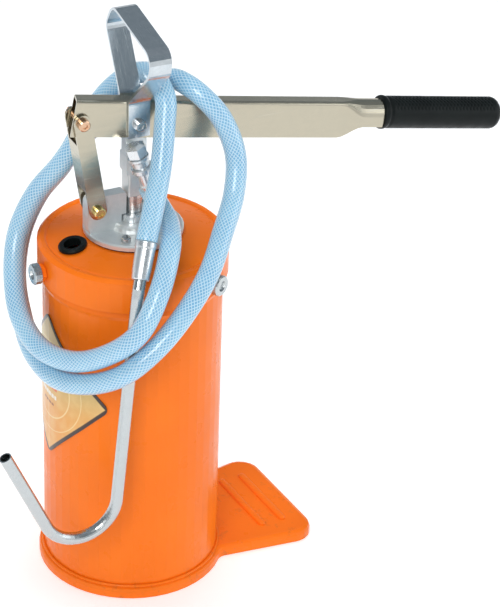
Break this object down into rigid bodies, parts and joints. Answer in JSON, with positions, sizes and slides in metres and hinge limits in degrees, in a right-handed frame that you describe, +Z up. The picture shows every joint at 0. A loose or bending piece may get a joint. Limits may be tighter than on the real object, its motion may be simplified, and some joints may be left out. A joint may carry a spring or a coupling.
{
  "type": "hand gear oil pump",
  "caption": "Lever-operated gear oil bucket pump: round tank on a foot plate, slip-over lid with rod pump, carry handle, looped hose and bent spout.",
  "frame": {"origin": "centre of the foot plate's pressed-down middle, on the tank's axis at floor level", "axes": "+Z up along the tank, +X from the tank's axis towards the lever's grip"},
  "size_m": [0.6605, 0.2632, 0.6777],
  "materials": {
    "orange_paint": "glossy powder coat on pressed steel",
    "label_print": "printed foil sticker with a dark border",
    "rubber": "matt black moulded rubber",
    "zinc_steel": "bright zinc plate with faint brushing",
    "dull_steel": "drawn steel tube, dull",
    "bright_steel": "polished plated steel",
    "yellow_zinc": "yellow zinc plate on steel",
    "brass": "turned brass",
    "pvc_hose": "clear blue braided vinyl"
  },
  "bodies": {
    "tank": {"base_plate": "orange_paint", "tank_shell": "orange_paint", "tank_floor": "orange_paint", "label_plate": "label_print"},
    "cover": {"lid": "orange_paint", "lid_gasket": "rubber", "lid_grommet": "rubber", "lid_nut_1": "orange_paint", "lid_nut_2": "orange_paint", "lid_nut_3": "orange_paint", "head_gasket": "rubber", "pump_head": "zinc_steel", "head_screw_1": "bright_steel", "head_screw_2": "bright_steel", "head_screw_3": "bright_steel", "head_screw_4": "bright_steel", "rod_seal": "rubber", "gland_nut": "zinc_steel", "pump_barrel": "dull_steel", "foot_valve_body": "brass", "suction_strainer": "dull_steel"},
    "clamp_1": {"lid_clamp_1": "zinc_steel"},
    "clamp_2": {"lid_clamp_2": "zinc_steel"},
    "clamp_3": {"lid_clamp_3": "zinc_steel"},
    "foot_ball": {"foot_valve_ball": "bright_steel"},
    "piston_ball": {"piston_valve_ball": "bright_steel"},
    "rod": {"piston_rod": "bright_steel", "piston_body": "brass", "piston_seal": "rubber", "rod_yoke": "zinc_steel", "carry_handle": "zinc_steel", "outlet_elbow": "zinc_steel", "hose_nut": "zinc_steel", "hose_tail": "zinc_steel", "rod_pin_bolt": "bright_steel", "rod_pin_nut": "bright_steel", "hose": "pvc_hose", "hose_ferrule": "zinc_steel", "spout_tube": "bright_steel"},
    "lever": {"lever_channel": "zinc_steel", "lever_tube": "zinc_steel", "lever_grip": "rubber"},
    "link": {"link": "zinc_steel", "link_head_bolt": "yellow_zinc", "link_head_nut": "yellow_zinc", "link_foot_bolt": "yellow_zinc", "link_foot_nut": "yellow_zinc"}
  },
  "joints": [
    {"name": "lid_lift", "type": "slide", "parent": "tank", "child": "cover", "axis": [0, 0, 1], "range_m": [0, 0.4]},
    {"name": "rod_slide", "type": "slide", "parent": "cover", "child": "rod", "axis": [0, 0, 1], "range_m": [-0.0185, 0.0072]},
    {"name": "lever_swing", "type": "hinge", "parent": "rod", "child": "lever", "pos_m": [0, 0, 0.556], "axis": [0, -1, 0], "range_deg": [-16, 6]},
    {"name": "link_swing", "type": "hinge", "parent": "lever", "child": "link", "pos_m": [-0.06504, 0, 0.56888], "axis": [0, -1, 0], "range_deg": [-6, 16]},
    {"name": "foot_ball_lift", "type": "slide", "parent": "cover", "child": "foot_ball", "axis": [0, 0, 1], "range_m": [0, 0.004]},
    {"name": "piston_ball_lift", "type": "slide", "parent": "rod", "child": "piston_ball", "axis": [0, 0, 1], "range_m": [0, 0.0026]},
    {"name": "clamp_1_turn", "type": "hinge", "parent": "cover", "child": "clamp_1", "pos_m": [-0.105, 0, 0.391], "axis": [-1, 0, 0], "range_deg": [0, 720]},
    {"name": "clamp_2_turn", "type": "hinge", "parent": "cover", "child": "clamp_2", "pos_m": [0.0525, -0.09093, 0.391], "axis": [0.5, -0.866, 0], "range_deg": [0, 720]},
    {"name": "clamp_3_turn", "type": "hinge", "parent": "cover", "child": "clamp_3", "pos_m": [0.0525, 0.09093, 0.391], "axis": [0.5, 0.866, 0], "range_deg": [0, 720]}
  ],
  "couplings": [
    {"joint": "rod_slide", "follows": "lever_swing", "m_per_rad": 0.065},
    {"joint": "link_swing", "follows": "lever_swing", "ratio": -1}
  ]
}
